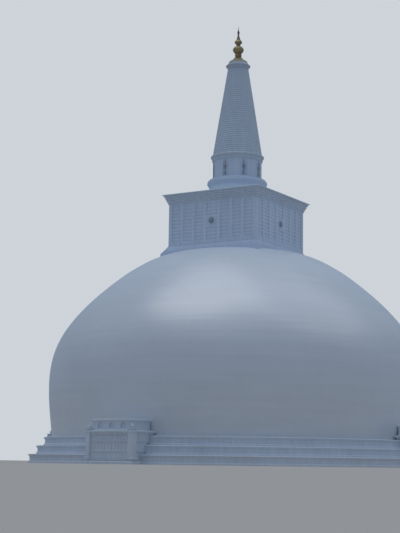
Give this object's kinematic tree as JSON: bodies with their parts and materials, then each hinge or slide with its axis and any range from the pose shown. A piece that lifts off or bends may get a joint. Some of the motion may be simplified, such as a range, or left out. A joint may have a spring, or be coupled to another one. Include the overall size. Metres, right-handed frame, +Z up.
{
  "type": "1:10 scale model of a stupa",
  "caption": "White masonry stupa with round terraces, a bubble dome, a railed square chamber, a niched drum, a ringed spire and a gilded pinnacle, as a 1:10 model.",
  "frame": {"origin": "centre of the flat foot, on the ground", "axes": "+Z up along the spire, -Y out of the front side of the square chamber, +X out of its right side"},
  "size_m": [9.88, 9.88, 10.3],
  "materials": {
    "whitewash": "lime-washed plaster, matt",
    "dome_paint": "smooth white paint on plaster, satin",
    "gilding": "weathered gilding",
    "crystal": "dark polished crystal",
    "figure_paint": "painted plaster, matt",
    "disc_relief": "painted and weathered relief"
  },
  "bodies": {
    "root": {"lower_terrace": "whitewash", "middle_terrace": "whitewash", "upper_terrace": "whitewash", "dome": "dome_paint", "altar_front": "whitewash", "altar_right": "whitewash", "altar_back": "whitewash", "altar_left": "whitewash", "chamber_plinth": "whitewash", "chamber_core": "whitewash", "rails_front": "whitewash", "rails_right": "whitewash", "rails_back": "whitewash", "rails_left": "whitewash", "posts_front": "whitewash", "posts_right": "whitewash", "posts_back": "whitewash", "posts_left": "whitewash", "sun_disc_front": "disc_relief", "sun_disc_right": "disc_relief", "sun_disc_back": "disc_relief", "sun_disc_left": "disc_relief", "chamber_cornice": "whitewash", "chamber_roof": "whitewash", "drum_foot": "whitewash", "drum": "whitewash", "niche_figure_1": "figure_paint", "niche_figure_2": "figure_paint", "niche_figure_3": "figure_paint", "niche_figure_4": "figure_paint", "niche_figure_5": "figure_paint", "niche_figure_6": "figure_paint", "niche_figure_7": "figure_paint", "niche_figure_8": "figure_paint", "drum_cornice": "whitewash", "spire": "whitewash", "spire_crown": "whitewash", "pinnacle_foot": "gilding", "pinnacle_collar": "gilding", "pinnacle_pot": "gilding", "pinnacle_bulb": "gilding", "pinnacle_spike": "gilding", "crystal": "crystal", "lightning_rod": "gilding"}
  },
  "joints": []
}
